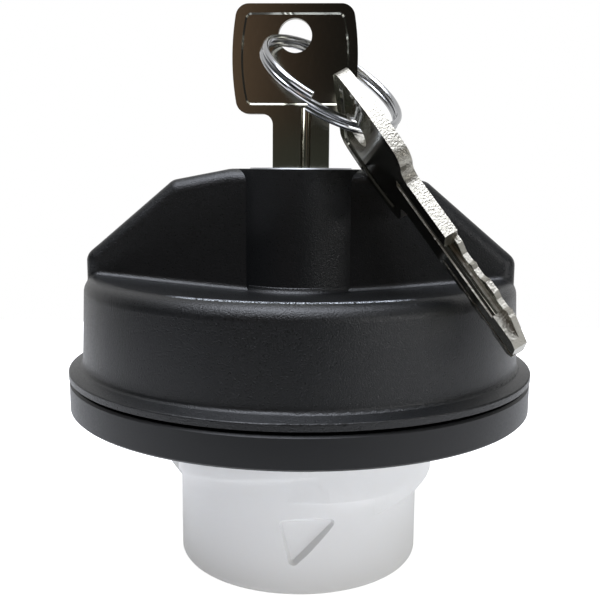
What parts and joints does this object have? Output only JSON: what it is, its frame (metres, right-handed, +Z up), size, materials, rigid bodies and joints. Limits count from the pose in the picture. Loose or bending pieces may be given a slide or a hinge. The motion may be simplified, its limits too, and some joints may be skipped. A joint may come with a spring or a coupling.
{
  "type": "locking fuel filler cap",
  "caption": "Locking fuel filler cap with a round base, a wing grip, a key in its lock, a spare key on a split ring and a white bayonet insert.",
  "frame": {"origin": "centre of the insert's flat bottom, on the cap's axis", "axes": "+Z up the cap's axis towards the lock, X along the grip wing, -Y the front"},
  "size_m": [0.0802, 0.0802, 0.0958],
  "materials": {
    "acetal_white": "natural acetal, smooth",
    "gasket_rubber": "nitrile rubber",
    "clutch_acetal": "natural acetal",
    "shell_black": "fine spark-eroded texture",
    "ring_black": "satin",
    "carrier_black": "moulded",
    "lock_zinc": "zinc die casting",
    "plug_zinc": "zinc die casting",
    "wafer_brass": "stamped",
    "spring_steel": "drawn spring wire",
    "screw_steel": "zinc plated",
    "bolt_steel": "pressed steel",
    "valve_plastic": "moulded",
    "key_nickel": "nickel plated brass",
    "spare_nickel": "nickel plated brass",
    "ring_nickel": "nickel plated steel wire"
  },
  "bodies": {
    "closure": {"closure_body": "acetal_white", "neck_gasket": "gasket_rubber", "clutch_ring": "clutch_acetal", "valve_cover": "acetal_white", "pressure_spring": "spring_steel"},
    "grip": {"grip_shell": "shell_black", "base_ring": "ring_black", "lock_case": "lock_zinc", "bolt_carrier": "carrier_black", "carrier_screws": "screw_steel"},
    "plug": {"lock_plug": "plug_zinc", "wafer_1": "wafer_brass", "wafer_2": "wafer_brass", "wafer_3": "wafer_brass", "wafer_4": "wafer_brass", "wafer_5": "wafer_brass", "wafer_spring_1": "spring_steel", "wafer_spring_2": "spring_steel", "wafer_spring_3": "spring_steel", "wafer_spring_4": "spring_steel", "wafer_spring_5": "spring_steel", "plug_clip": "spring_steel", "lock_cam": "plug_zinc", "cam_screw": "screw_steel"},
    "key": {"key": "key_nickel"},
    "split_ring": {"split_ring": "ring_nickel"},
    "spare_key": {"spare_key": "spare_nickel"},
    "drive_bolt_right": {"drive_bolt_right": "bolt_steel"},
    "drive_bolt_left": {"drive_bolt_left": "bolt_steel"},
    "pressure_valve": {"pressure_valve": "gasket_rubber", "vacuum_spring": "spring_steel"},
    "vacuum_valve": {"vacuum_valve": "valve_plastic"}
  },
  "joints": [
    {"name": "grip_turn", "type": "hinge", "parent": "closure", "child": "grip", "pos_m": [0, 0, 0.03], "axis": [0, 0, 1], "continuous": true},
    {"name": "key_turn", "type": "hinge", "parent": "grip", "child": "plug", "pos_m": [0, 0, 0.055], "axis": [0, 0, -1], "range_deg": [0, 90]},
    {"name": "key_withdraw", "type": "slide", "parent": "plug", "child": "key", "axis": [0, 0, 1], "range_m": [0, 0.02]},
    {"name": "ring_swing", "type": "hinge", "parent": "key", "child": "split_ring", "pos_m": [-0.0011, 0, 0.0906], "axis": [0, -1, 0], "range_deg": [0, 60]},
    {"name": "spare_swing", "type": "hinge", "parent": "split_ring", "child": "spare_key", "pos_m": [0.00977, -0.01665, 0.0747], "axis": [-0.8463, -0.1983, -0.4945], "range_deg": [0, 40]},
    {"name": "right_bolt_slide", "type": "slide", "parent": "grip", "child": "drive_bolt_right", "axis": [1, 0, 0], "range_m": [0, 0.003]},
    {"name": "left_bolt_slide", "type": "slide", "parent": "grip", "child": "drive_bolt_left", "axis": [-1, 0, 0], "range_m": [0, 0.003]},
    {"name": "pressure_lift", "type": "slide", "parent": "closure", "child": "pressure_valve", "axis": [0, 0, 1], "range_m": [0, 0.0015], "stiffness_N_per_m": 900, "springref_m": -0.003, "deforming": ["pressure_spring"]},
    {"name": "vacuum_drop", "type": "slide", "parent": "pressure_valve", "child": "vacuum_valve", "axis": [0, 0, -1], "range_m": [0, 0.0012], "stiffness_N_per_m": 300, "springref_m": -0.003, "deforming": ["vacuum_spring"]}
  ],
  "couplings": [
    {"joint": "right_bolt_slide", "follows": "key_turn", "m_per_rad": 0.0019099},
    {"joint": "left_bolt_slide", "follows": "key_turn", "m_per_rad": 0.0019099}
  ]
}
